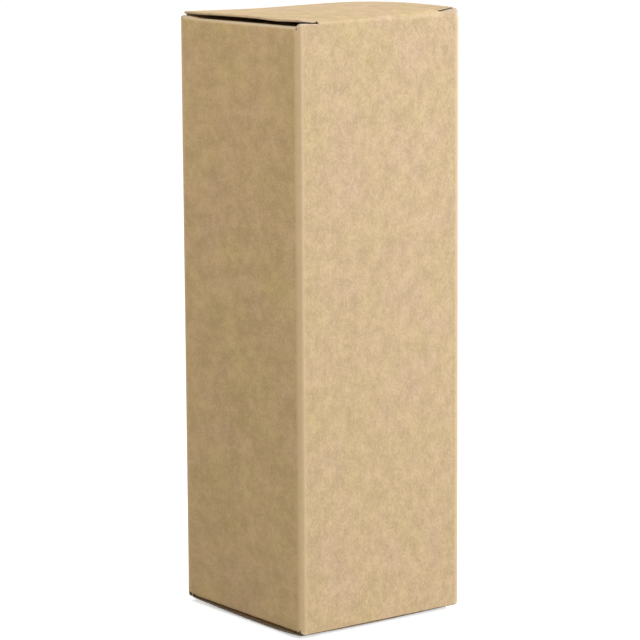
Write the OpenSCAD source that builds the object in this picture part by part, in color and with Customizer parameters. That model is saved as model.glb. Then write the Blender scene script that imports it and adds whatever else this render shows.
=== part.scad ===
// Tall square carton with a tuck lid at each end, folded from one sheet of kraft board.
// The front panel faces -Y and carries the top lid; the back panel carries the bottom lid.
// The carton stands on its bottom lid at Z = 0, and the origin is at the middle of its base.

/* [Carton] */
// Width of the front and back panels
carton_w = 40; // [30:1:90]
// Depth of the two side panels
carton_d = 40; // [30:1:90]
// Height of the front and back panels, from cut edge to cut edge
panel_h = 120; // [60:1:260]
// Thickness of the kraft board
board = 0.45; // [0.3:0.05:0.6]
// Outer radius of the four upright folds
corner_r = 1; // [0.7:0.1:2]
// Radius of the cut corners at the ends of the front and back panels
cut_corner_r = 0.9; // [0.3:0.1:1.2]

/* [Lids] */
// Outer radius of a lid's hinge fold and of its tuck fold
fold_r = 1; // [0.7:0.1:1.1]
// Length of the slit at each end of a lid's hinge fold
slit_l = 5; // [2:0.5:8]
// Gap between a panel's cut edge and the lid above it, at the slits
slit_gap = 0.2; // [0.2:0.05:0.5]
// Width of the cut at a slit's inner end
slit_w = 0.2; // [0.1:0.05:0.4]
// How far a lid's slit corners stand back from the face of the panel that carries it
slit_set = 0.2; // [0.15:0.05:0.25]
// How far a lid's side edges stand in from the side panels' outer faces
lid_inset = 0.9; // [0.8:0.1:2]
// How high the top lid bulges in its middle
top_bulge = 0.9; // [0:0.1:1.5]
// How high the bottom lid bulges in its middle: none, since the carton stands on it
bottom_bulge = 0; // [0:0.1:0.5]
// Length of a tuck flap beyond its fold
tuck_l = 11; // [6:0.5:15]
// Radius of a tuck flap's free corners
tuck_corner_r = 5; // [1:0.5:6]
// How far a tuck flap's sides stand in from the lid's side edges
tuck_inset = 0.5; // [0.2:0.1:1.5]
// Gap between a tuck fold and the inside of the panel that it goes behind
tuck_gap = 0.3; // [0.2:0.05:0.6]

/* [Dust flaps] */
// Gap between the tips of a pair of dust flaps
flap_tip_gap = 8; // [6:0.5:14]
// Angle by which the dust flaps lean into the carton
flap_lean = 4; // [0:0.5:8]
// Outer radius of the dust flaps' folds
flap_fold_r = 0.7; // [0.6:0.05:1]
// How far the top dust flaps' folds lie inside the front panel's cut edge
top_flap_drop = 0.3; // [0.2:0.05:1.5]
// How far the bottom dust flaps' folds lie inside the front panel's cut edge
bottom_flap_drop = 1; // [0.2:0.05:1.5]
// Clearance along a dust flap's two edges
flap_gap = 0.4; // [0.3:0.05:1]
// How much narrower a dust flap is at its tip, on the side where the tuck flap passes
flap_taper = 3.5; // [1:0.5:6]
// Length of the straight shoulder before that taper
flap_shoulder = 3; // [2:0.5:5]
// Radius of a dust flap's corner on the tapered side
flap_corner_r = 4; // [1:0.5:5]

/* [Glue flap] */
// Width of the glue flap beyond its fold
glue_w = 12; // [8:0.5:16]
// How far the glue flap stops short of the upright folds' ends
glue_stop = 2; // [1:0.5:5]
// Angle of the glue flap's slanting ends
glue_slant = 30; // [10:5:45]
// How far the side panel's glued edge stands in from the back panel's face
seam_set = 0.4; // [0.2:0.05:0.6]

/* [Hidden] */
$fn = 64;
kraft = [0.80, 0.68, 0.50];
kraft_inside = [0.74, 0.62, 0.45];
// steps in a quarter of a fold and along a lid's bulge
fold_steps = 8;
bulge_steps = 20;
// the split between a lid and its panel lies in the middle of the hinge fold
split_angle = 135;
split_gap = 0.02;
// depth to which the glued faces share the glue line
glue_film = 0.05;
// how far the front and back panels' cut ends stand in from the side panels' faces
end_set = 0.15;
// straight stretch of panel that the hinge fold is made with
hinge_straight = 0.6;
// clearance that a lid keeps from the opposite panel while it swings
swing_gap = 0.2;

// a lid lies on the panels' cut edges, a slit's gap above them
lid_stand = board + slit_gap;
panel_lo = lid_stand;
panel_hi = panel_lo + panel_h;
top_z = panel_hi + lid_stand;
// the tube of four panels ends where the dust flaps' folds begin
tube_lo = panel_lo + bottom_flap_drop + flap_fold_r;
tube_hi = panel_hi - top_flap_drop - flap_fold_r;

lid_w = carton_w - 2 * lid_inset;
lid_d = carton_d - board - tuck_gap;
hinge_w = carton_w - 2 * slit_l;
tuck_w = lid_w - 2 * tuck_inset;
// the hinge axis lies on the outer face of the fold, at its middle
axis_in = fold_r * (1 - cos(45));
// the tuck flap leans in far enough for its tip to swing past the opposite panel
swing_r = carton_d - board - axis_in - swing_gap;
tuck_reach = fold_r + tuck_l - axis_in;
tip_in = sqrt(swing_r * swing_r - tuck_reach * tuck_reach);
tuck_lean = atan((lid_d - axis_in - tip_in) / tuck_l);
tuck_tip = -fold_r - fold_r * sin(tuck_lean) - tuck_l * cos(tuck_lean);
// the dust flaps stay out of the tuck flap's path, which is tightest at its half length
tuck_mid_in = lid_d - axis_in - board - tuck_l / 2 * sin(tuck_lean);
tuck_path = axis_in + sqrt(tuck_mid_in * tuck_mid_in + tuck_l * tuck_l / 4);
flap_near = board + flap_gap;
flap_far = tuck_path - flap_gap;
// a dust flap's fold runs as far as the next upright fold, beside the lid's edge
flap_root = carton_d - corner_r;
flap_l = (carton_w - flap_tip_gap) / 2 - flap_fold_r;
hinge_start = fold_r + hinge_straight;

// points of an arc, each with the angle of the outward normal there
function arc(centre, r, from, to, steps) =
  [for (i = [0:steps]) let (a = from + (to - from) * i / steps)
    [centre + r * [cos(a), sin(a)], a]];

// outline of a board whose outer face runs through the given points
function sheet(path) = concat(
  [for (p = path) p[0]],
  [for (i = [len(path) - 1:-1:0]) path[i][0] - board * [cos(path[i][1]), sin(path[i][1])]]);

// slope at which a lid with that bulge leaves its folds
function bulge_slope(bulge) = atan(4 * bulge / (lid_d - 2 * fold_r));

// section through a lid, from its hinge fold over the bulge to the tip of its tuck flap
function lid_path(bulge) =
  let (
    slope = bulge_slope(bulge),
    split = split_angle - split_gap / fold_r * 180 / PI,
    hinge = arc([fold_r, -fold_r], fold_r, split, 90 + slope, fold_steps / 2),
    tuck = arc([lid_d - fold_r, -fold_r], fold_r, 90 - slope, -tuck_lean, fold_steps),
    start = hinge[len(hinge) - 1][0],
    run = tuck[0][0].x - start.x,
    crown = [for (i = [1:bulge_steps - 1]) let (s = i / bulge_steps)
      [start + [run * s, 4 * bulge * s * (1 - s)], 90 + atan(4 * bulge * (1 - 2 * s) / run)]],
    end = tuck[len(tuck) - 1][0],
    tip = end - tuck_l * [sin(tuck_lean), cos(tuck_lean)]
  )
  concat(hinge, bulge > 0 ? crown : [], tuck, [[tip, -tuck_lean]]);

// a section in depth and height, drawn out along the carton's width
module across(w) {
  rotate([90, 0, 90]) linear_extrude(w, center = true) children();
}

module rounded_square(w, d, r) {
  square([w, d - 2 * r], center = true);
  square([w - 2 * r, d], center = true);
  for (x = [-1, 1], y = [-1, 1])
    translate([x * (w / 2 - r), y * (d / 2 - r)]) circle(r);
}

// plan of the four panels: three folds closed, and the seam with the glue flap's fold
module tube_plan() {
  seam_x = carton_w / 2 - board - corner_r + glue_film;
  seam_y = carton_d / 2 - corner_r;
  difference() {
    rounded_square(carton_w, carton_d, corner_r);
    rounded_square(carton_w - 2 * board, carton_d - 2 * board, corner_r - board);
    translate([seam_x, seam_y]) square(2 * corner_r + board);
  }
  translate([carton_w / 2 - board, seam_y]) square([board, corner_r - seam_set]);
  translate([seam_x, seam_y]) intersection() {
    difference() {
      circle(corner_r);
      circle(corner_r - board);
    }
    square(corner_r);
  }
}

// the ends of the front and back panels, which reach past the side panels' folds
module panel_ends(from, to) {
  intersection() {
    translate([0, 0, from]) linear_extrude(to - from) intersection() {
      tube_plan();
      for (y = [-1, 1]) translate([0, y * carton_d / 2])
        square([carton_w, 2 * corner_r], center = true);
    }
    rotate([90, 0, 0]) linear_extrude(2 * carton_d, center = true)
      translate([0, (panel_lo + panel_hi) / 2])
        rounded_square(carton_w - 2 * end_set, panel_h, cut_corner_r);
  }
}

// one carton end in its own frame: the hinged panel's face at Y = 0, the lid's face at Z = 0
module place_top() {
  translate([0, -carton_d / 2, top_z]) children();
}

module place_bottom() {
  translate([0, carton_d / 2, 0]) rotate([180, 0, 0]) children();
}

// the panel's half of the hinge fold, between the slits
module hinge_root() {
  across(hinge_w) polygon(sheet(concat(
    [[[0, -hinge_start], 180]],
    arc([fold_r, -fold_r], fold_r, 180, split_angle, fold_steps / 2))));
}

module hinge_clearing() {
  translate([-hinge_w / 2, -1, -hinge_start]) cube([hinge_w, 1 + 2 * board, hinge_start]);
}

module dust_flap(drop) {
  far_x = flap_l - flap_corner_r;
  tip_far = flap_far - flap_taper;
  translate([flap_fold_r - carton_w / 2, 0, -lid_stand - drop - flap_fold_r]) {
    translate([0, flap_root, 0]) rotate([90, 0, 0]) linear_extrude(flap_root - flap_near)
      polygon(sheet(arc([0, 0], flap_fold_r, 180, 90 - flap_lean, fold_steps)));
    rotate([0, flap_lean, 0]) translate([0, 0, flap_fold_r - board]) linear_extrude(board)
      difference() {
        polygon([
          [0, flap_near],
          [flap_l, flap_near],
          [flap_l, tip_far - flap_corner_r],
          [far_x, tip_far],
          [flap_shoulder, flap_far],
          [0, flap_far]
        ]);
        // the corner beside the hinged panel is cut back a little
        translate([flap_l, flap_near]) rotate(45) square(2.4, center = true);
      }
    rotate([0, flap_lean, 0]) translate([far_x, tip_far - flap_corner_r, flap_fold_r - board])
      intersection() {
        cylinder(r = flap_corner_r, h = board);
        cube([flap_corner_r, flap_corner_r, board]);
      }
  }
}

// the strip that is glued inside the right side panel
module glue_flap() {
  slant = glue_w * tan(glue_slant);
  root = carton_d / 2 - corner_r;
  lo = tube_lo + glue_stop;
  hi = tube_hi - glue_stop;
  translate([carton_w / 2 - 1.5 * board + glue_film, 0, 0]) across(board) polygon([
    [root, lo],
    [root, hi],
    [root - glue_w, hi - slant],
    [root - glue_w, lo + slant]
  ]);
}

module carton() {
  color(kraft) {
    difference() {
      union() {
        translate([0, 0, tube_lo]) linear_extrude(tube_hi - tube_lo) tube_plan();
        panel_ends(tube_hi, panel_hi);
        panel_ends(panel_lo, tube_lo);
      }
      place_top() hinge_clearing();
      place_bottom() hinge_clearing();
    }
    place_top() hinge_root();
    place_bottom() hinge_root();
    glue_flap();
    for (side = [0, 1]) mirror([side, 0, 0]) {
      place_top() dust_flap(top_flap_drop);
      place_bottom() dust_flap(bottom_flap_drop);
    }
  }
}

// everything beside the tuck flap's rounded outline
module tuck_trim() {
  r = tuck_corner_r;
  low = tuck_tip;
  difference() {
    translate([-carton_w, low - r]) square([2 * carton_w, r - low - fold_r]);
    translate([-tuck_w / 2, low + r]) square([tuck_w, -low]);
    translate([r - tuck_w / 2, low - 2 * r]) square([tuck_w - 2 * r, -low + 2 * r]);
    for (x = [-1, 1]) translate([x * (tuck_w / 2 - r), low + r]) circle(r);
  }
}

// a lid in the carton end's frame: its plate, its half of the hinge fold and its tuck flap
module lid(bulge) {
  slope = bulge_slope(bulge);
  slit_zone = lid_w / 2 - hinge_w / 2;
  tab_w = slit_zone - slit_w;
  tab_l = fold_r - slit_set;
  difference() {
    across(lid_w) polygon(sheet(lid_path(bulge)));
    for (side = [-1, 1]) translate([side * (hinge_w + slit_zone + 1) / 2, 0, 0])
      across(slit_zone + 1) translate([fold_r, -fold_r]) rotate(slope)
        translate([-2 * fold_r, -fold_r]) square([2 * fold_r, 3 * fold_r]);
    translate([0, lid_d + 1, 0]) rotate([90, 0, 0]) linear_extrude(tuck_l) tuck_trim();
  }
  // the corners beside the slits run on straight to the panel's edge
  for (side = [-1, 1]) translate([side * (lid_w - tab_w) / 2, 0, 0])
    across(tab_w) translate([fold_r, -fold_r]) rotate(slope)
      translate([-tab_l, fold_r - board]) square([tab_l, board]);
}

module top_lid() {
  color(kraft) place_top() lid(top_bulge);
}

module bottom_lid() {
  color(kraft_inside) place_bottom() lid(bottom_bulge);
}

carton();
top_lid();
bottom_lid();
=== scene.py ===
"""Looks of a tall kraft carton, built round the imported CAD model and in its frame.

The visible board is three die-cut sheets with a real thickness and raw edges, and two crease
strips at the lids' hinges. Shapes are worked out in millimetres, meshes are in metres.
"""

import math
from collections import Counter

import bpy
from mathutils import Matrix, Vector


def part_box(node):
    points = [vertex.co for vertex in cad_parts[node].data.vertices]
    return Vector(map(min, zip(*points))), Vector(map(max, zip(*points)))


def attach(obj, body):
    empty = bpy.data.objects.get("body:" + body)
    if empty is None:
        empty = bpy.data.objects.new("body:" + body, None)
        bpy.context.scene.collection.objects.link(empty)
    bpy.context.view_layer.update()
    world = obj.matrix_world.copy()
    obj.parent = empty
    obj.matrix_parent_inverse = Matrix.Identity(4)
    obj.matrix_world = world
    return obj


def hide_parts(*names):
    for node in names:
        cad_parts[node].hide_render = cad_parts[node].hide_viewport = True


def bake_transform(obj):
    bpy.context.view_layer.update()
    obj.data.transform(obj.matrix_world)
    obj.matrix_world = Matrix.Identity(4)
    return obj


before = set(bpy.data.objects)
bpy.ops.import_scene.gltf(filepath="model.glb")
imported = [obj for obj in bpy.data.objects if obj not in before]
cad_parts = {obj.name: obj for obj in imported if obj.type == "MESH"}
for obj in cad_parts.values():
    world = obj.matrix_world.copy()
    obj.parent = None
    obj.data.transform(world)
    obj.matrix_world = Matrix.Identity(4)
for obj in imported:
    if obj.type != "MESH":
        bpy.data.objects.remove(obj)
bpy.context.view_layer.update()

MM = 0.001

# The carton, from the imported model. The top lid's flat level, TOP_Z, is as far above the carton's
# upper end as the ground is below its lower end.
carton_low, carton_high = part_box("carton")
WIDTH = (carton_high.x - carton_low.x) / MM
DEPTH = (carton_high.y - carton_low.y) / MM
TOP_Z = (carton_low.z + carton_high.z) / MM

# The board, its upright folds and how far a panel swells in its middle
BOARD = 0.45
CORNER_R = 1.0
PANEL_BOW = 0.12

# The cut corners of the front and back panels: their radius, how far they reach round the upright
# fold, and how far before the fold their curve starts
CUT_CORNER_R = 0.9
END_REACH = 0.85
CUT_LEAD = 0.03

# The seam: how far the glued edge stands in from the back, the glue line and the glue flap
SEAM_SET = 0.4
SEAM_GAP = 0.01
GLUE_W = 12.0
GLUE_STOP = 2.0
GLUE_SLANT = 30.0

# The lids: the hinge fold's length, the plate, and the depth at which the plate joins the crease
HINGE_W = 30.0
LID_W = 37.9
LID_D = 39.25
LID_START = 2.2

# The tuck fold and flap, and the degrees of the fold at which it leaves the plate, over which it
# narrows to the flap, and over which the plate's flare ends
TUCK_FOLD_R = 1.0
TUCK_W = 36.9
TUCK_L = 10.8
TUCK_CORNER_R = 5.0
TUCK_LEAN = 8.76
TUCK_FROM = 6
TUCK_NARROWS = (40, 95)
FLARE_ENDS = (TUCK_FROM, 51)

# The dust flaps: depths of their sides, fold, length, lean, taper and where it starts, radius of
# the far corner and cut of the near corner
FLAP_NEAR = CORNER_R
FLAP_FAR = 37.96
FLAP_FOLD_R = 0.7
FLAP_L = 15.3
FLAP_LEAN = 4.0
FLAP_TAPER = 3.5
FLAP_SHOULDER = 3.0
FLAP_CORNER_R = 4.0
FLAP_CUT = 1.7

# Degrees of a dust flap's fold over which it departs from its panel's height, and over which it gets
# lighter, a painted highlight
FLAP_RISES = (0, 60)
FLAP_HIGHLIGHT_ANGLES = (5, 45)

# Wear and painted light: 0 is plain board, 1 a scuffed fold that is partly a painted highlight,
# 2 bare fibre that is partly a painted highlight, and -1 painted shade on a crease
UPRIGHT_WEAR_AND_HIGHLIGHT = 1.0
TUCK_WEAR = 0.6
CREASE_PAINTED_SHADE = -0.1

# Depth through the board in thicknesses, and how far the cut face stands out there in mm
CUT_FACE = [(0.1, 0.08), (0.3, 0.15), (0.6, 0.18), (0.88, 0.14)]

# Two corners closer together than this are one, in mm
WELD = 0.002
# Step at which a surface's slope is taken
STEP = 0.001

# Steps across a panel between its slits, beside a slit and on to its edge, across a side panel,
# up the tube, over a panel's end, across the glue flap, round a fold, along a plate and along a tab
HINGE_STEPS = 20
SLIT_STEPS = 4
EDGE_STEPS = 3
SIDE_STEPS = 24
TUBE_STEPS = 48
END_STEPS = 4
GLUE_STEPS = 6
FOLD_STEPS = 8
PLATE_STEPS = 30
TAB_STEPS = 4
# Steps round an upright fold, up to where the cut corner leaves it and from there on
CORNER_STEPS = (4, 3)
# Steps along a dust flap up to its taper, along its taper and round its far corner
FLAP_STEPS = (3, 5, 6)
# Steps along a tuck flap and round its corners
TUCK_STEPS = (5, 8)
# Share of a free panel end's height at which its first row lies
FREE_FIRST = 0.5
# A crease strip: rows on the panel, steps round the fold and along the plate, and how far from the
# middle of its fold the painted shade ends
CREASE_ROWS = [0, 0.6, 1]
CREASE_STEPS = (10, 4)
CREASE_SHADE_ENDS = (0.2, 0.7)
# Extra steps this close to an upright fold, and to an end of the tube or of a plate, in mm
NEAR_FOLD = 0.5
NEAR_END = 0.3
# Length beside a slit that has the finer steps
SLIT_END = 1

# The seams with a crease strip, where the cut faces don't stand out: how far a point on one may be
# off the slit, off the panel's face and off the seam's line, in mm
SEAM_X = 0.01
SEAM_FACE = 0.1
SEAM_LINE = 0.05
# Lowest heights of the plate's seam and of the faces beside the slits, from the lid's flat level
PLATE_SEAM_LOW = -2
SLIT_SEAM_LOW = -2.2
# Depths between which the faces beside the slits lie on a seam, for the carton and for a lid
CARTON_SEAM = (-0.5, 0.5)
LID_SEAM = (0.3, LID_START + 0.1)


def spread(start, end, steps):
    """Evenly spaced values from start to end."""
    return [start + (end - start) * i / steps for i in range(steps + 1)]


def merged(*runs):
    """The values of several runs in one rising list, without repeats."""
    values = sorted(value for run in runs for value in run)
    return [v for i, v in enumerate(values) if i == 0 or v - values[i - 1] > WELD]


def ramp(value, start, end):
    """Smooth step from 0 at start to 1 at end."""
    share = min(max((value - start) / (end - start), 0.0), 1.0)
    return share * share * (3 - 2 * share)


def hump(value, middle, width):
    """Bell curve that is 1 at its middle."""
    return math.exp(-((value - middle) / width) ** 2)


def round_corner(length, radius, steps):
    """Distances along a flap of that length over its rounded corner."""
    return [length - radius * (1 - math.sin(math.radians(a))) for a in spread(0, 90, steps)]


def polar(radius, degrees):
    """Sideways and upward reach of an arm, by degrees up from level."""
    angle = math.radians(degrees)
    return radius * math.cos(angle), radius * math.sin(angle)


class Sheet:
    """Board built from patches of its outer face, which share the corners where they meet."""

    def __init__(self):
        self.outer = []
        self.normals = []
        self.lift = []
        self.wear_and_painted_light = []
        self.found = {}
        self.faces = []

    def corner(self, point, normal, lift, wear_and_painted_light):
        """Number of the corner at that point, where its patches' normals add up."""
        key = tuple(round(c / WELD) for c in point)
        if key not in self.found:
            self.found[key] = len(self.outer)
            self.outer.append(point)
            self.normals.append(Vector())
            self.lift.append(lift)
            self.wear_and_painted_light.append(wear_and_painted_light)
        index = self.found[key]
        self.normals[index] += normal
        self.wear_and_painted_light[index] = max(self.wear_and_painted_light[index], wear_and_painted_light)
        return index

    def patch(self, place, us, vs, flip=False, wear_and_painted_light=0.0, lift=None):
        """Adds a grid: place(u, v) is a point of the outer face, and u x v points out of it."""
        marks_at = wear_and_painted_light if callable(wear_and_painted_light) else lambda u, v: wear_and_painted_light
        rows = []
        for v in vs:
            row = []
            for u in us:
                du = place(u + STEP, v) - place(u - STEP, v)
                dv = place(u, v + STEP) - place(u, v - STEP)
                normal = du.cross(dv).normalized() * (-1 if flip else 1)
                extra = lift(u, v) if lift else Vector()
                row.append(self.corner(place(u, v), normal, extra, marks_at(u, v)))
            rows.append(row)
        for low, high in zip(rows, rows[1:]):
            for i in range(len(us) - 1):
                face = [low[i], low[i + 1], high[i + 1], high[i]]
                face = [c for k, c in enumerate(face) if c != face[k - 1]]
                if len(face) > 2:
                    self.faces.append(face[::-1] if flip else face)

    def solid(self, name, is_seam):
        """The board as a closed piece. Its raw edges stand out, apart from those on a seam."""
        count = len(self.outer)
        normals = [n.normalized() for n in self.normals]
        edges = Counter()
        for face in self.faces:
            for a, b in zip(face, face[1:] + face[:1]):
                edges[(a, b)] += 1
        rim = [(a, b) for a, b in edges if (b, a) not in edges]
        away = {}
        for a, b in rim:
            for corner in (a, b):
                away.setdefault(corner, Vector())
            if is_seam((self.outer[a] + self.outer[b]) / 2):
                continue
            along = (self.outer[b] - self.outer[a]).normalized()
            for corner in (a, b):
                away[corner] += along.cross(normals[corner])
        points = list(self.outer)
        points += [p - n * BOARD + e for p, n, e in zip(self.outer, normals, self.lift)]
        wear_and_painted_light = self.wear_and_painted_light * 2
        ring = {corner: [corner] for corner in away}
        for corner, out in away.items():
            direction = out.normalized() if out.length > WELD else Vector()
            through = self.lift[corner] - normals[corner] * BOARD
            for share, proud in CUT_FACE:
                ring[corner].append(len(points))
                points.append(self.outer[corner] + through * share + direction * proud)
                wear_and_painted_light.append(0.0)
            ring[corner].append(corner + count)
        faces = list(self.faces) + [[c + count for c in face[::-1]] for face in self.faces]
        materials = [0] * len(self.faces) + [1] * len(self.faces)
        for a, b in rim:
            for k in range(len(CUT_FACE) + 1):
                faces.append([ring[b][k], ring[a][k], ring[a][k + 1], ring[b][k + 1]])
                materials.append(2)
        lips = {frozenset(pair) for a, b in rim for pair in ((a, b), (a + count, b + count))}
        return make_piece(name, points, faces, materials, wear_and_painted_light, lips)


def make_piece(name, points, faces, materials, wear_and_painted_light, lips):
    """A mesh object in metres, smooth apart from the lips of its cut edges."""
    mesh = bpy.data.meshes.new(name)
    mesh.from_pydata([p * MM for p in points], [], faces)
    mesh.polygons.foreach_set("material_index", materials)
    mesh.polygons.foreach_set("use_smooth", [True] * len(faces))
    sharp = [frozenset(edge.vertices) in lips for edge in mesh.edges]
    mesh.attributes.new("sharp_edge", "BOOLEAN", "EDGE").data.foreach_set("value", sharp)
    # Wear and painted light per corner: painted highlight on folds, painted shade on creases
    mesh.attributes.new("fold_wear_and_painted_light", "FLOAT", "POINT").data.foreach_set("value", wear_and_painted_light)
    mesh.update()
    piece = bpy.data.objects.new(name, mesh)
    bpy.context.scene.collection.objects.link(piece)
    return piece


class End:
    """One end of the carton in its own frame, in mm.

    x runs across, d runs in from the hinged panel's face, and h is up from the lid's flat level.
    """

    def __init__(self, side, tube_end, crease_from, tab_start):
        self.side = side
        self.tube_end = tube_end
        self.crease_from = crease_from
        self.tab_start = tab_start

    def place(self, x, d, h):
        return Vector((x, self.side * (d - DEPTH / 2), TOP_Z / 2 + self.side * (TOP_Z / 2 + h)))

    def flare(self, x, d):
        """How far the lid's plate is drawn out sideways."""
        return 0.0

    def lip_lift(self, x):
        """How much higher the hinged panel's inner lip stands than its outer lip."""
        return 0.0

    def lean(self, x, h):
        """How far the hinged panel leans in beside a slit."""
        return 0.0


class TopEnd(End):
    """The top lid bulges most on its right, and its crease runs up to the right."""

    # Painted highlight on the dust flaps' folds, and how far the right tab's cut slants under it
    flap_wear_and_highlight = 2.0
    undercut = 0.35
    # The hinge fold: where it leaves the panel, its radius at the left and right, and where it widens
    crease_h = -0.85
    tight_r = 0.7
    wide_r = 1.6
    widens = (-14, 14)
    # The plate's left edge: its height, its dip beside the slit and its fall towards the tuck fold
    left_h = 0.28
    left_dip = 0.2
    left_dip_at = 8.5
    left_dip_width = 5
    left_fall = 0.04
    left_falls = (20, 38)
    # The plate's right edge: its height, and how high, where and how far it bulges
    right_h = 0.3
    right_bulge = 1.02
    right_bulge_at = 13
    right_bulge_reach = 26
    # How late the right edge's height takes over, as a power of the share of the width
    skew = 1.3
    # A dent before the tuck fold
    dent = 0.26
    dent_at = -3
    dent_width = 13
    dents = (26, 36)
    # Distance over which the crease's own height dies away in the plate
    crease_reach = 3
    # The left edge runs out towards its far corner
    flared = 0.75
    flares_x = (10, 19)
    flares_d = (14, 36)
    # The hinged panel's lips beside the slits. The right one is crushed: it starts high and falls
    # off quickly, and its inner lip stands up. The left one rises a little to its corner.
    left_lip = -0.86
    left_lip_slope = 0.055
    left_lift = 0.08
    right_lip = -0.02
    right_lip_peak = 0.47
    right_lift = 0.62
    right_lift_slope = 0.085
    right_lift_cut = 0.4
    crush_reach = 0.35
    # How far from the right slit the panel still follows the hinge fold
    lean_reach = 3.5
    # How far from the lip a panel's cut corner goes, and the one beside the crushed lip
    cut = 0.4
    crushed_cut = 0.6
    # The back panel's lip, and its small dip at the left corner
    back_lip = -0.83
    back_dip = 0.05
    back_dips = (16.5, 18.5)
    # Depths over which the dust flaps' folds come up towards the back panel, and by how much
    flap_up = 0.36
    flaps_up = (33, 38)

    def fold_r(self, x):
        return self.tight_r + (self.wide_r - self.tight_r) * ramp(x, *self.widens)

    def fold_top(self, x):
        return self.crease_h + self.fold_r(x)

    def level(self, x, d):
        """Height of the plate without its crease."""
        dip = self.left_dip * hump(d, self.left_dip_at, self.left_dip_width)
        left = self.left_h - dip - self.left_fall * ramp(d, *self.left_falls)
        bulge = 1 - ((d - self.right_bulge_at) / self.right_bulge_reach) ** 2
        right = self.right_h + self.right_bulge * bulge
        share = min(max(x / LID_W + 0.5, 0.0), 1.0)
        dent = self.dent * hump(x, self.dent_at, self.dent_width) * ramp(d, *self.dents)
        return left + (right - left) * share ** self.skew - dent

    def plate(self, x, d):
        past = max(d - self.fold_r(x), 0.0)
        hinged = 1 - ramp(abs(x), HINGE_W / 2, LID_W / 2)
        drop = (self.level(x, self.fold_r(x)) - self.fold_top(x)) * hinged
        return self.level(x, d) - drop * math.exp(-past / self.crease_reach)

    def flare(self, x, d):
        return -self.flared * ramp(-x, *self.flares_x) * ramp(d, *self.flares_d)

    def lip(self, x):
        """Height of the hinged panel's outer lip beside the slits."""
        past = abs(x) - HINGE_W / 2
        if x > 0:
            return self.right_lip + self.right_lip_peak * math.exp(-past / self.crush_reach)
        return self.left_lip + self.left_lip_slope * past

    def lip_lift(self, x):
        if x < 0:
            return self.left_lift
        past = x - HINGE_W / 2
        cut = self.right_lift_cut * math.exp(-past / self.crush_reach)
        return self.right_lift + self.right_lift_slope * past - cut

    def lean(self, x, h):
        """The panel still follows the fold beside the right slit."""
        rise = h - self.crease_h
        if x < 0 or rise <= 0:
            return 0.0
        follow = 1 - ramp(x, HINGE_W / 2, HINGE_W / 2 + self.lean_reach)
        return follow * (self.wide_r - math.sqrt(self.wide_r ** 2 - min(rise, self.wide_r) ** 2))

    def free_lip(self, x):
        """Height of the back panel's lip."""
        return self.back_lip - self.back_dip * ramp(-x, *self.back_dips)

    def cut_depth(self, x, hinged):
        """How far from the lip the cut corner of a panel goes."""
        return self.crushed_cut if hinged and x > 0 else self.cut

    def fold_drop(self, d):
        """How much further from the lid the side fold lies at that depth. Here it lies closer."""
        return -self.flap_up * ramp(d, *self.flaps_up)


class BottomEnd(End):
    """The bottom lid sags most behind the front panel, and its edges curl up a little."""

    # How much lighter the dust flaps' folds are
    flap_wear_and_highlight = 0.5
    undercut = 0.0
    hinge_r = 1.0
    # Depth at which the plate sags to the ground, and how far it rises over how long a run from
    # there to its crease and to its tuck fold. Along its middle it has only a share of that rise.
    lowest = 28
    crease_rise = 0.45
    crease_run = 27
    tuck_rise = 0.3
    tuck_run = 9
    middle_share = 0.45
    # Heights of the hinged panel's and the front panel's lips
    hinged_lip = -0.83
    front_lip = -1.05
    # How far from the lip the cut corners of the hinged panel and of the front panel go
    hinged_cut = 1.25
    front_cut = 0.5
    # The dust flaps' folds turn away from the lid as they near the hinged panel
    flap_drop = 0.5
    flap_drop_reach = 2.6

    def fold_r(self, x):
        return self.hinge_r

    def fold_top(self, x):
        return self.plate(x, self.hinge_r)

    def plate(self, x, d):
        if d < self.lowest:
            rise = self.crease_rise * ((self.lowest - d) / self.crease_run) ** 2
        else:
            rise = self.tuck_rise * ((d - self.lowest) / self.tuck_run) ** 2
        return -rise * (self.middle_share + (1 - self.middle_share) * (2 * x / LID_W) ** 2)

    def lip(self, x):
        return self.hinged_lip

    def free_lip(self, x):
        return self.front_lip

    def cut_depth(self, x, hinged):
        return self.hinged_cut if hinged else self.front_cut

    def fold_drop(self, d):
        return self.flap_drop * max(1 - (d - FLAP_NEAR) / self.flap_drop_reach, 0) ** 2


# The two ends: how far short of the lid's flat level the tube ends, the height at which the crease
# strip starts, and the depths at which the lid's left and right tabs start beside the slits
TOP = TopEnd(side=1, tube_end=1.73, crease_from=-1.2, tab_start={-1: 0.8, 1: 1.1})
BOTTOM = BottomEnd(side=-1, tube_end=1.95, crease_from=-1.9, tab_start={-1: 0.8, 1: 0.8})
TUBE_LOW = BOTTOM.tube_end
TUBE_HIGH = TOP_Z - TOP.tube_end
MID_Z = (TUBE_LOW + TUBE_HIGH) / 2
HALF_Z = (TUBE_HIGH - TUBE_LOW) / 2

FLAT_W = WIDTH - 2 * CORNER_R
FLAT_D = DEPTH - 2 * CORNER_R
# Where a panel's cut corner leaves the upright fold, as degrees past the flat face
REACH_ANGLE = math.degrees(math.asin(END_REACH / CORNER_R))

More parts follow.
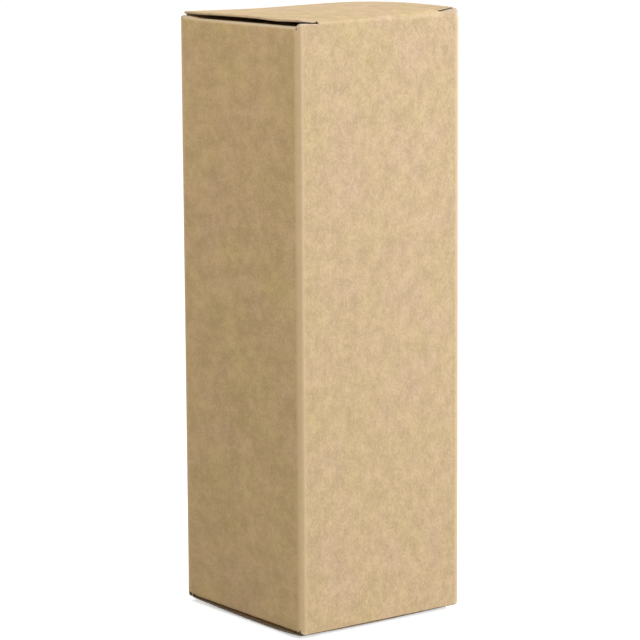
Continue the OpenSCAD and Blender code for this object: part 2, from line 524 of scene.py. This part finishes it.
# Where the patches of the sheet have their corners: across a panel, between its slits, along a
# side panel, up the tube and round its folds
beside_slit = HINGE_W / 2 + SLIT_END
panel_xs = merged(
    spread(-HINGE_W / 2, HINGE_W / 2, HINGE_STEPS),
    spread(HINGE_W / 2, beside_slit, SLIT_STEPS),
    spread(beside_slit, FLAT_W / 2, EDGE_STEPS),
    spread(-beside_slit, -HINGE_W / 2, SLIT_STEPS),
    spread(-FLAT_W / 2, -beside_slit, EDGE_STEPS),
    [-FLAT_W / 2 + NEAR_FOLD, FLAT_W / 2 - NEAR_FOLD],
)
hinge_xs = [x for x in panel_xs if abs(x) < HINGE_W / 2 + WELD]
flap_half = FLAP_FAR - DEPTH / 2
side_ys = merged(
    spread(-flap_half, flap_half, SIDE_STEPS),
    [-FLAT_D / 2, NEAR_FOLD - FLAT_D / 2, FLAT_D / 2 - NEAR_FOLD, FLAT_D / 2],
)
side_ds = [y + DEPTH / 2 for y in side_ys]
tube_zs = merged(spread(TUBE_LOW, TUBE_HIGH, TUBE_STEPS), [TUBE_LOW + NEAR_END, TUBE_HIGH - NEAR_END])
fold_angles = merged(
    spread(0, REACH_ANGLE, CORNER_STEPS[0]),
    spread(REACH_ANGLE, 90, CORNER_STEPS[1]),
)
# Middle of the upright fold that leads to the glue flap, which lies inside the right panel
SEAM_CENTRE = WIDTH / 2 - BOARD - CORNER_R - SEAM_GAP


def bow(along, z):
    """How far a panel swells at that share of its half width and that height."""
    return PANEL_BOW * max(1 - along ** 2, 0) * max(1 - ((z - MID_Z) / HALF_Z) ** 2, 0)


def facing_panel(side):
    """The front or back panel: side is -1 for the front."""
    return lambda x, z: Vector((x, side * (DEPTH / 2 + bow(2 * x / FLAT_W, z)), z))


def side_panel(side):
    """A side panel: side is -1 for the left."""
    return lambda y, z: Vector((side * (WIDTH / 2 + bow(2 * y / FLAT_D, z)), y, z))


def upright_fold(side_x, side_y, centre_x):
    """A corner of the tube, by degrees past the flat front or back panel."""

    def place(angle, z):
        up, out = polar(CORNER_R, 90 - angle)
        y = DEPTH / 2 - CORNER_R + out
        return Vector((side_x * (centre_x + up), side_y * y, z))

    return place


def add_tube(sheet):
    """The four panels, their three closed folds, and the fold and strip of the glue flap."""
    centre = WIDTH / 2 - CORNER_R
    back_xs = [min(x, SEAM_CENTRE) for x in panel_xs]
    sheet.patch(facing_panel(-1), panel_xs, tube_zs)
    sheet.patch(facing_panel(1), back_xs, tube_zs, flip=True)
    sheet.patch(side_panel(1), side_ys + [DEPTH / 2 - SEAM_SET], tube_zs)
    sheet.patch(side_panel(-1), side_ys, tube_zs, flip=True)
    # The upright folds are lighter: partly scuffing, partly a painted highlight
    sheet.patch(upright_fold(1, -1, centre), fold_angles, tube_zs, wear_and_painted_light=UPRIGHT_WEAR_AND_HIGHLIGHT)
    sheet.patch(upright_fold(-1, -1, centre), fold_angles, tube_zs, flip=True, wear_and_painted_light=UPRIGHT_WEAR_AND_HIGHLIGHT)
    sheet.patch(upright_fold(-1, 1, centre), fold_angles, tube_zs, wear_and_painted_light=UPRIGHT_WEAR_AND_HIGHLIGHT)
    sheet.patch(upright_fold(1, 1, SEAM_CENTRE), fold_angles, tube_zs, flip=True, wear_and_painted_light=UPRIGHT_WEAR_AND_HIGHLIGHT)

    glue_zs = [z for z in tube_zs if TUBE_LOW + GLUE_STOP < z < TUBE_HIGH - GLUE_STOP]
    root_half = (glue_zs[-1] - glue_zs[0]) / 2
    root_mid = (glue_zs[-1] + glue_zs[0]) / 2
    slope = math.tan(math.radians(GLUE_SLANT))

    def strip(out, z):
        share = 1 - out * slope / root_half
        return Vector((SEAM_CENTRE + CORNER_R, FLAT_D / 2 - out, root_mid + (z - root_mid) * share))

    sheet.patch(strip, spread(0, GLUE_W, GLUE_STEPS), glue_zs, flip=True)


def panel_end(sheet, end, side_y, side_x, hinged):
    """The free end of a front or back panel, on one side: up to its lip, round to its corner."""
    near = HINGE_W / 2 if hinged else 0.0
    xs = [x for x in panel_xs if side_x * x > near - WELD]
    seam_side = side_y > 0 and side_x > 0
    centre_x = SEAM_CENTRE if seam_side else WIDTH / 2 - CORNER_R
    if seam_side:
        xs = [min(x, SEAM_CENTRE) for x in xs]
    base = -end.tube_end
    first = FREE_FIRST
    if hinged:
        first = (end.crease_from - base) / (end.lip(side_x * HINGE_W / 2) - base)
    shares = merged([0.0], spread(first, 1, END_STEPS))
    depth = end.cut_depth(side_x, hinged)

    def height(x, past, share):
        top = end.lip(x) if hinged else end.free_lip(x)
        cut = depth * (1 - math.sqrt(1 - ((max(past, 0) + CUT_LEAD) / CUT_CORNER_R) ** 2))
        return base + (top - cut - base) * share

    def at(x, out, past, share):
        h = height(x, past, share)
        inset = end.lean(x, h) if hinged else 0.0
        return Vector((x, side_y * (out - inset), end.place(0, 0, h).z))

    def lift(x, share):
        raised = end.lip_lift(x) if hinged else 0.0
        return Vector((0, 0, end.side * raised * ramp(share, first, 1)))

    def flat(x, share):
        return at(x, DEPTH / 2, 0, share)

    def bend(angle, share):
        past, out = polar(CORNER_R, 90 - angle)
        return at(side_x * (centre_x + past), DEPTH / 2 - CORNER_R + out, past, share)

    turned = (side_y > 0) != (end.side < 0)
    sheet.patch(flat, xs, shares, flip=turned, lift=lift)
    sheet.patch(
        bend,
        [a for a in fold_angles if a < REACH_ANGLE + WELD],
        shares,
        flip=turned != (side_x < 0),
        # Lighter still towards the lip: bare fibre, partly a painted highlight
        wear_and_painted_light=lambda angle, share: UPRIGHT_WEAR_AND_HIGHLIGHT + ramp(share, first, 1),
        lift=lambda angle, share: lift(side_x * centre_x, share),
    )


def hinge_panel(sheet, end):
    """The hinged panel between the slits, from the tube to the crease strip."""

    def place(x, h):
        return end.place(x, 0, h)

    sheet.patch(place, hinge_xs, [-end.tube_end, end.crease_from])


def dust_flap(sheet, end, side_x):
    """The fold at the end of a side panel and the flap that lies under the lid."""
    centre_x = WIDTH / 2 - FLAP_FOLD_R
    bend = 90 + FLAP_LEAN
    run_x, run_h = polar(1, -FLAP_LEAN)

    def fold(d, angle):
        across, up = polar(FLAP_FOLD_R, angle)
        drop = end.fold_drop(d) * ramp(angle, *FLAP_RISES)
        return end.place(side_x * (centre_x + across), d, up - end.tube_end - drop)

    def sides(out):
        """Depths of the flap's near and far side at that distance from its fold."""
        near = FLAP_NEAR + max(out - (FLAP_L - FLAP_CUT), 0)
        far = FLAP_FAR
        round_start = FLAP_L - FLAP_CORNER_R
        if out > FLAP_SHOULDER:
            far -= FLAP_TAPER * min((out - FLAP_SHOULDER) / (round_start - FLAP_SHOULDER), 1)
        if out > round_start:
            past = min(out - round_start, FLAP_CORNER_R)
            far -= FLAP_CORNER_R - math.sqrt(FLAP_CORNER_R ** 2 - past ** 2)
        return near, far

    top_x, top_h = polar(FLAP_FOLD_R, bend)

    def plate(d, out):
        near, far = sides(min(max(out, 0), FLAP_L))
        share = (d - FLAP_NEAR) / (FLAP_FAR - FLAP_NEAR)
        x = centre_x + top_x - out * run_x
        level = top_h - end.tube_end - end.fold_drop(d)
        return end.place(side_x * x, near + (far - near) * share, level + out * run_h)

    turned = side_x < 0
    outs = merged(
        spread(0, FLAP_SHOULDER, FLAP_STEPS[0]),
        spread(FLAP_SHOULDER, FLAP_L - FLAP_CORNER_R, FLAP_STEPS[1]),
        round_corner(FLAP_L, FLAP_CORNER_R, FLAP_STEPS[2]),
        [FLAP_L - FLAP_CUT],
    )
    sheet.patch(
        fold,
        side_ds,
        spread(0, bend, FOLD_STEPS),
        flip=turned,
        wear_and_painted_light=lambda d, angle: end.flap_wear_and_highlight * ramp(angle, *FLAP_HIGHLIGHT_ANGLES),
    )
    plate_ds = [d for d in side_ds if d < FLAP_FAR + WELD]
    sheet.patch(plate, plate_ds, outs, flip=turned)


def add_lid(sheet, end):
    """A lid beyond its crease strip: tabs beside the slits, plate, tuck fold and tuck flap."""
    half = LID_W / 2
    outer_xs = [x for x in panel_xs if HINGE_W / 2 < x < half - NEAR_END] + [half]
    tab_xs = {1: [HINGE_W / 2] + outer_xs}
    tab_xs[-1] = [-x for x in tab_xs[1][::-1]]
    lid_xs = merged(tab_xs[-1], hinge_xs, tab_xs[1])

    def surface(x, d):
        return end.place(x + end.flare(x, d), d, end.plate(x, d))

    def slant(x, d):
        share = (LID_START - d) / (LID_START - end.tab_start[1])
        return Vector((0, end.side * end.undercut * share, 0))

    for side_x, xs in tab_xs.items():
        tab_ds = spread(end.tab_start[side_x], LID_START, TAB_STEPS)
        sheet.patch(surface, xs, tab_ds, lift=slant if side_x > 0 else None)
    fold_d = LID_D - TUCK_FOLD_R
    plate_ds = merged(spread(LID_START, fold_d, PLATE_STEPS), [fold_d - NEAR_END])
    sheet.patch(surface, lid_xs, plate_ds)

    def tuck_fold(x, turn):
        angle = 90 - turn
        inward, up = polar(TUCK_FOLD_R, angle)
        narrow = 1 - (1 - TUCK_W / LID_W) * ramp(turn, *TUCK_NARROWS)
        first_in, first_up = polar(TUCK_FOLD_R, 90 - TUCK_FROM)
        base = end.plate(x, fold_d) - first_up
        flare = end.flare(x, fold_d) * (1 - ramp(turn, *FLARE_ENDS))
        return end.place(x * narrow + flare, fold_d - first_in + inward, base + up)

    lean_in, lean_down = polar(1, -90 - TUCK_LEAN)

    def half_width(out):
        past = out - (TUCK_L - TUCK_CORNER_R)
        if past <= 0:
            return TUCK_W / 2
        rest = max(TUCK_CORNER_R ** 2 - past ** 2, 0)
        return TUCK_W / 2 - TUCK_CORNER_R + math.sqrt(rest)

    def flap(x, out):
        root = tuck_fold(x, 90 + TUCK_LEAN)
        width = half_width(min(max(out, 0), TUCK_L))
        root.x = x / half * width
        return root + Vector((0, end.side * lean_in * out, end.side * lean_down * out))

    turns = spread(TUCK_FROM, 90 + TUCK_LEAN, FOLD_STEPS)
    outs = merged(
        spread(0, TUCK_L - TUCK_CORNER_R, TUCK_STEPS[0]),
        round_corner(TUCK_L, TUCK_CORNER_R, TUCK_STEPS[1]),
    )
    sheet.patch(tuck_fold, lid_xs, turns, wear_and_painted_light=TUCK_WEAR)
    sheet.patch(flap, lid_xs, outs)


def add_crease(sheet, end):
    """The hinge fold between the slits, from the panel round to the lid's plate."""

    def place(x, s):
        """s is 0 to 1 on the panel, 1 to 2 round the fold, and 2 to 3 on the plate."""
        r = end.fold_r(x)
        bottom = end.fold_top(x) - r
        if s <= 1:
            return end.place(x, 0, end.crease_from + (bottom - end.crease_from) * s)
        if s <= 2:
            inward, up = polar(r, 180 - 90 * (s - 1))
            return end.place(x, r + inward, bottom + up)
        d = r + (LID_START - r) * (s - 2)
        return end.place(x, d, end.plate(x, d))

    # Painted shade along the middle of the crease's fold
    def painted_crease_shade(x, s):
        return CREASE_PAINTED_SHADE * (1 - ramp(abs(s - 1.5), *CREASE_SHADE_ENDS))

    rows = merged(CREASE_ROWS, spread(1, 2, CREASE_STEPS[0]), spread(2, 3, CREASE_STEPS[1]))
    sheet.patch(place, hinge_xs, rows, wear_and_painted_light=painted_crease_shade)


def near_hinge(end, nearest, furthest):
    """True on the side faces of the crease strip and of the board cut beside it."""

    def test(point):
        h = end.side * (point.z - TOP_Z / 2) - TOP_Z / 2
        d = end.side * point.y + DEPTH / 2
        beside = abs(abs(point.x) - HINGE_W / 2) < SEAM_X
        inside = abs(point.x) < HINGE_W / 2 + SEAM_X
        on_panel = inside and d < SEAM_FACE and abs(h - end.crease_from) < SEAM_LINE
        on_plate = inside and abs(d - LID_START) < SEAM_LINE and h > PLATE_SEAM_LOW
        on_slit = beside and nearest < d < furthest and h > SLIT_SEAM_LOW
        return on_panel or on_plate or on_slit

    return test


def build_carton():
    sheet = Sheet()
    add_tube(sheet)
    for end in (TOP, BOTTOM):
        hinge_panel(sheet, end)
        for side_x in (-1, 1):
            for side_y in (-1, 1):
                panel_end(sheet, end, side_y, side_x, hinged=(side_y == -end.side))
            dust_flap(sheet, end, side_x)
    seams = [near_hinge(end, *CARTON_SEAM) for end in (TOP, BOTTOM)]
    return sheet.solid("carton_sheet", lambda p: any(seam(p) for seam in seams))


def build_lid(name, end):
    sheet = Sheet()
    add_lid(sheet, end)
    return sheet.solid(name, near_hinge(end, *LID_SEAM))


def build_crease(name, end):
    sheet = Sheet()
    add_crease(sheet, end)
    return sheet.solid(name, lambda p: True)


# Kraft board

# Noise in the board: features per metre, octaves, stretch and roughness
PULP = (330, 4, (1, 0.6, 0.85), 0.85)
GRAIN = (3300, 1, (1, 0.6, 0.8), 0.6)
FIBRE = (1400, 2, (1, 0.7, 0.4), 0.6)
HUE = (130, 3, (1, 0.6, 0.8), 0.6)
SPECK = (1500, 1, (1, 1, 1), 0.6)

# The grain's weight beside the pulp's in the board's tone, the middle of that tone, and how far
# from it the darkest and the palest pulp are
GRAIN_SHARE = 0.4
TONE_MIDDLE = 0.5 + 0.5 * GRAIN_SHARE
TONE_SPAN = 0.16

# The darkest and palest pulp, and the same where it is redder, as shares of the board's colour
SHIFTS = [(0.83, 0.83, 0.74), (1.11, 1.14, 1.02), (0.86, 0.82, 0.86), (1.15, 1.12, 1.26)]
# Fibre, which is also lifted and is the painted highlight on folds too, painted crease shade and
# specks, as shares of the board's colour
FIBRE_SHADE = 1.12
FIBRE_LIFT = 0.04
CREASE_SHADE_SHARE = 0.72
SPECK_SHADE = 0.4
# Bare fibre, which is partly a painted highlight
BARE_FIBRE_AND_HIGHLIGHT = (0.8, 0.72, 0.6)
# Painted shade in crevices, a near black
PAINTED_CREVICE_SHADE = (0.03, 0.02, 0.01)

# Where each of these starts to show, where it shows most, and its share there
TONE_SHOWS = (TONE_MIDDLE - TONE_SPAN, TONE_MIDDLE + TONE_SPAN, 1)
HUE_SHOWS = (0.3, 0.7, 1)
FIBRE_SHOWS = (0.55, 0.8, 0.3)
RUBBED_AND_HIGHLIGHT_SHOWS = (0, 1, 0.7)
BARE_AND_HIGHLIGHT_SHOWS = (1, 2, 0.6)
CREASE_SHADE_SHOWS = (0, -1, 0.8)
SPECK_SHOWS = (0.77, 0.82, 0.6)
PAINTED_CREVICE_SHOWS = (0.68, 0.54, 0.95)

# How close a wall has to be for the painted shade in crevices, and relief of the pulp and of the
# fibres, in mm
PAINTED_CREVICE_REACH = 2.5
PULP_RELIEF = 0.07
FIBRE_RELIEF = 0.04
# Strength of the fibres' relief beside the pulp's
FIBRE_BUMP = 0.6
AO_SAMPLES = 4


class Nodes:
    """Small helper that adds shader nodes and feeds their inputs."""

    def __init__(self, tree):
        self.tree = tree

    def feed(self, socket, value):
        """Links another node's output to the socket, or sets a number, vector or colour on it."""
        if isinstance(value, bpy.types.NodeSocket):
            self.tree.links.new(value, socket)
        elif socket.type == "RGBA":
            socket.default_value = (*value, 1)
        else:
            socket.default_value = value

    def add(self, kind, inputs=None, **settings):
        node = self.tree.nodes.new(kind)
        for name, value in settings.items():
            setattr(node, name, value)
        for name, value in (inputs or {}).items():
            self.feed(node.inputs[name], value)
        return node

    def maths(self, operation, *terms):
        return self.add("ShaderNodeMath", dict(enumerate(terms)), operation=operation).outputs[0]

    def noise(self, source, scale, detail, stretch, roughness):
        """Noise in the part's own coordinates."""
        mapped = self.add("ShaderNodeMapping", {"Vector": source, "Scale": stretch}).outputs["Vector"]
        inputs = {"Vector": mapped, "Scale": scale, "Detail": detail, "Roughness": roughness}
        return self.add("ShaderNodeTexNoise", inputs).outputs["Fac"]

    def share(self, value, start, end, most):
        """A share that grows from 0 at start to its most at end."""
        inputs = {"Value": value, "From Min": start, "From Max": end, "To Min": 0, "To Max": most}
        return self.add("ShaderNodeMapRange", inputs).outputs["Result"]

    def tint(self, factor, first, second):
        """Mixes two colours."""
        mix = self.add("ShaderNodeMix", {0: factor}, data_type="RGBA", blend_type="MIX")
        sockets = [s for s in mix.inputs if s.type == "RGBA"]
        for socket, colour in zip(sockets, (first, second)):
            self.feed(socket, colour)
        return [s for s in mix.outputs if s.type == "RGBA"][0]

    def bump(self, height, strength, distance, normal=None):
        """A relief, on top of another one where its normal is given."""
        inputs = {"Height": height, "Strength": strength, "Distance": distance * MM}
        if normal is not None:
            inputs["Normal"] = normal
        return self.add("ShaderNodeBump", inputs).outputs["Normal"]


def new_material(name):
    material = bpy.data.materials.new(name)
    material.use_nodes = True
    material.node_tree.nodes.clear()
    return material, Nodes(material.node_tree)


def scaled(colour, factor):
    return tuple(c * factor for c in colour)


def kraft(name, colour, roughness, specular, bump, painted_crevice_shade=False):
    """Unbleached board: mottled pulp, fibres along its grain and dark specks; folds lighter by scuffing
    and painted highlight, painted shade on creases, and painted shade in crevices if asked.
    """
    material, nodes = new_material(name)
    place = nodes.add("ShaderNodeTexCoord").outputs["Object"]
    pulp, grain, fibre, hue, speck = (
        nodes.noise(place, *kind) for kind in (PULP, GRAIN, FIBRE, HUE, SPECK)
    )
    wear_and_painted_light = nodes.add("ShaderNodeAttribute", attribute_name="fold_wear_and_painted_light").outputs["Fac"]

    dark, pale, ruddy, pallid = (tuple(c * k for c, k in zip(colour, shift)) for shift in SHIFTS)
    tone = nodes.maths("MULTIPLY_ADD", grain, GRAIN_SHARE, pulp)
    paleness = nodes.share(tone, *TONE_SHOWS)
    plain = nodes.tint(paleness, dark, pale)
    warm = nodes.tint(paleness, ruddy, pallid)
    shade = nodes.tint(nodes.share(hue, *HUE_SHOWS), plain, warm)
    light = tuple(min(c * FIBRE_SHADE + FIBRE_LIFT, 1) for c in colour)
    # Fibres, folds lightened by scuffing and painted highlight, painted crease shade, and specks
    traits = [
        (fibre, FIBRE_SHOWS, light),
        (wear_and_painted_light, RUBBED_AND_HIGHLIGHT_SHOWS, light),
        (wear_and_painted_light, BARE_AND_HIGHLIGHT_SHOWS, BARE_FIBRE_AND_HIGHLIGHT),
        (wear_and_painted_light, CREASE_SHADE_SHOWS, scaled(colour, CREASE_SHADE_SHARE)),
        (speck, SPECK_SHOWS, scaled(colour, SPECK_SHADE)),
    ]
    # Painted shade: the cut edge goes dark where close walls hide the open room
    if painted_crevice_shade:
        crevice_occlusion = nodes.add(
            "ShaderNodeAmbientOcclusion",
            {"Distance": PAINTED_CREVICE_REACH * MM},
            samples=AO_SAMPLES,
        )
        traits.append((crevice_occlusion.outputs["AO"], PAINTED_CREVICE_SHOWS, PAINTED_CREVICE_SHADE))
    for value, shows, trait_colour in traits:
        shade = nodes.tint(nodes.share(value, *shows), shade, trait_colour)

    mottled = nodes.bump(tone, bump, PULP_RELIEF)
    ridged = nodes.bump(fibre, bump * FIBRE_BUMP, FIBRE_RELIEF, mottled)
    shader = nodes.add(
        "ShaderNodeBsdfPrincipled",
        {
            "Base Color": shade,
            "Roughness": roughness,
            "Specular IOR Level": specular,
            "Normal": ridged,
        },
    )
    nodes.add("ShaderNodeOutputMaterial", {"Surface": shader.outputs["BSDF"]})
    return material


def make_board_materials():
    """The outside, the inside and the cut edge, in the order of a piece's material slots."""
    outside = kraft(
        "kraft_outside",
        colour=(0.635, 0.446, 0.23),
        roughness=0.71,
        specular=0.57,
        bump=1.0,
    )
    inside = kraft("kraft_inside", colour=(0.56, 0.37, 0.17), roughness=0.8, specular=0.3, bump=0.5)
    cut_edge = kraft(
        "kraft_cut_edge",
        colour=(0.65, 0.49, 0.32),
        roughness=0.9,
        specular=0.2,
        bump=0.7,
        painted_crevice_shade=True,
    )
    return outside, inside, cut_edge


# Stage: lengths in mm, angles in degrees, azimuth from the front to the right

CAMERA_CENTRE = Vector((0, 0, TOP_Z / 2))
CAMERA_AZIMUTH = -36.821
CAMERA_ELEVATION = 9.609
CAMERA_ROLL = -0.346
CAMERA_DISTANCE = 602.8
CAMERA_OFFSET = (-0.12, -1.442)
CAMERA_LENS = 167.57
CAMERA_SENSOR = 36

# Light from all round, and the ground's side in metres, colour and glow
WORLD_FILL = (0.29, 0.28, 0.23)
FLOOR_SIZE = 12.0
FLOOR_COLOUR = (0.32, 0.32, 0.32)
FLOOR_GLOW = 0.94
# The ground's contact shadow: the azimuth and elevation that the carton hides there, how close it
# has to be, and the open share of the room that is black and the one that is clear
SHADE_FROM = (75, 15)
SHADE_REACH = 2.0
SHADE_CLEARS = (0.43, 0.51)


def aim(azimuth, elevation):
    """Direction from the carton out to a lamp or camera."""
    a = math.radians(azimuth)
    e = math.radians(elevation)
    return Vector((math.sin(a) * math.cos(e), -math.cos(a) * math.cos(e), math.sin(e)))


def add_camera():
    back = aim(CAMERA_AZIMUTH, CAMERA_ELEVATION)
    level = Vector((*polar(1, CAMERA_AZIMUTH), 0))
    turn = Matrix.Rotation(math.radians(CAMERA_ROLL), 3, back)
    right = turn @ level
    up = back.cross(right)
    offset = right * CAMERA_OFFSET[0] + up * CAMERA_OFFSET[1]
    spot = (CAMERA_CENTRE + back * CAMERA_DISTANCE + offset) * MM
    data = bpy.data.cameras.new("camera")
    data.sensor_width = CAMERA_SENSOR
    data.lens = CAMERA_LENS
    camera = bpy.data.objects.new("camera", data)
    camera.matrix_world = Matrix.Translation(spot) @ Matrix((right, up, back)).transposed().to_4x4()
    bpy.context.scene.collection.objects.link(camera)
    bpy.context.scene.camera = camera


def add_lamp(name, azimuth, elevation, distance, size, power, colour):
    """A square soft light that faces the middle of the carton, its distance and size in metres."""
    data = bpy.data.lights.new(name, "AREA")
    data.shape = "SQUARE"
    data.size = size
    data.energy = power
    data.color = colour
    lamp = bpy.data.objects.new(name, data)
    direction = aim(azimuth, elevation)
    lamp.location = CAMERA_CENTRE * MM + direction * distance
    lamp.rotation_euler = direction.to_track_quat("Z", "Y").to_euler()
    bpy.context.scene.collection.objects.link(lamp)


def seen_directly(nodes):
    """1 for camera rays and for reflections, so that the ground looks white in both."""
    path = nodes.add("ShaderNodeLightPath").outputs
    glossy = nodes.maths("MAXIMUM", path["Is Glossy Ray"], path["Is Transmission Ray"])
    return nodes.maths("MAXIMUM", path["Is Camera Ray"], glossy)


def add_world():
    world = bpy.data.worlds.new("studio")
    world.use_nodes = True
    world.node_tree.nodes.clear()
    nodes = Nodes(world.node_tree)
    colour = nodes.tint(seen_directly(nodes), WORLD_FILL, (1, 1, 1))
    background = nodes.add("ShaderNodeBackground", {"Color": colour})
    nodes.add("ShaderNodeOutputWorld", {"Surface": background.outputs["Background"]})
    bpy.context.scene.world = world


def pale_ground():
    """Matt ground that glows white where it is seen, apart from its contact shadow."""
    material, nodes = new_material("pale_ground")
    matt = nodes.add("ShaderNodeBsdfDiffuse", {"Color": FLOOR_COLOUR})
    strength = nodes.share(seen_directly(nodes), 0, 1, FLOOR_GLOW)
    towards = nodes.add("ShaderNodeCombineXYZ", dict(zip("XYZ", aim(*SHADE_FROM))))
    near = nodes.add(
        "ShaderNodeAmbientOcclusion",
        {"Distance": SHADE_REACH * MM, "Normal": towards.outputs["Vector"]},
        samples=AO_SAMPLES,
    )
    clear = nodes.share(near.outputs["AO"], *SHADE_CLEARS, 1)
    glow = nodes.add(
        "ShaderNodeEmission",
        {"Color": (1, 1, 1), "Strength": nodes.maths("MULTIPLY", clear, strength)},
    )
    both = nodes.add("ShaderNodeAddShader", {0: matt.outputs[0], 1: glow.outputs[0]})
    nodes.add("ShaderNodeOutputMaterial", {"Surface": both.outputs[0]})
    return material


def add_floor():
    half = FLOOR_SIZE / 2
    mesh = bpy.data.meshes.new("floor")
    corners = [(-half, -half, 0), (half, -half, 0), (half, half, 0), (-half, half, 0)]
    mesh.from_pydata(corners, [], [(0, 1, 2, 3)])
    floor = bpy.data.objects.new("floor", mesh)
    bpy.context.scene.collection.objects.link(floor)
    mesh.materials.append(pale_ground())


bpy.context.scene.view_settings.view_transform = "Standard"
add_camera()
add_world()
add_floor()
LAMPS = {
    "key": dict(azimuth=62, elevation=30, distance=0.6, size=0.3, power=3.95, colour=(0.93, 1.01, 1.2)),
    "front": dict(
        azimuth=-26, elevation=12, distance=0.7, size=0.4, power=1.75, colour=(0.99, 1.01, 1.12)
    ),
    "back": dict(azimuth=150, elevation=14, distance=0.8, size=0.5, power=0.4, colour=(1, 1, 1)),
    "side": dict(azimuth=-105, elevation=45, distance=0.3, size=0.2, power=0.25, colour=(1, 0.95, 0.8)),
}
for name, values in LAMPS.items():
    add_lamp(name, **values)

carton = build_carton()
top_lid = build_lid("top_lid_sheet", TOP)
bottom_lid = build_lid("bottom_lid_sheet", BOTTOM)
top_crease = build_crease("top_crease", TOP)
bottom_crease = build_crease("bottom_crease", BOTTOM)

board_materials = make_board_materials()
for piece in (carton, top_lid, bottom_lid, top_crease, bottom_crease):
    for material in board_materials:
        piece.data.materials.append(material)

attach(carton, "carton")
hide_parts("carton")
for piece, body in ((top_lid, "top_lid"), (bottom_lid, "bottom_lid")):
    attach(piece, body)
    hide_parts(body)


def bend_with_lid(strip):
    """Bakes the strip's placement into its mesh."""
    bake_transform(strip)


bend_with_lid(top_crease)
bend_with_lid(bottom_crease)
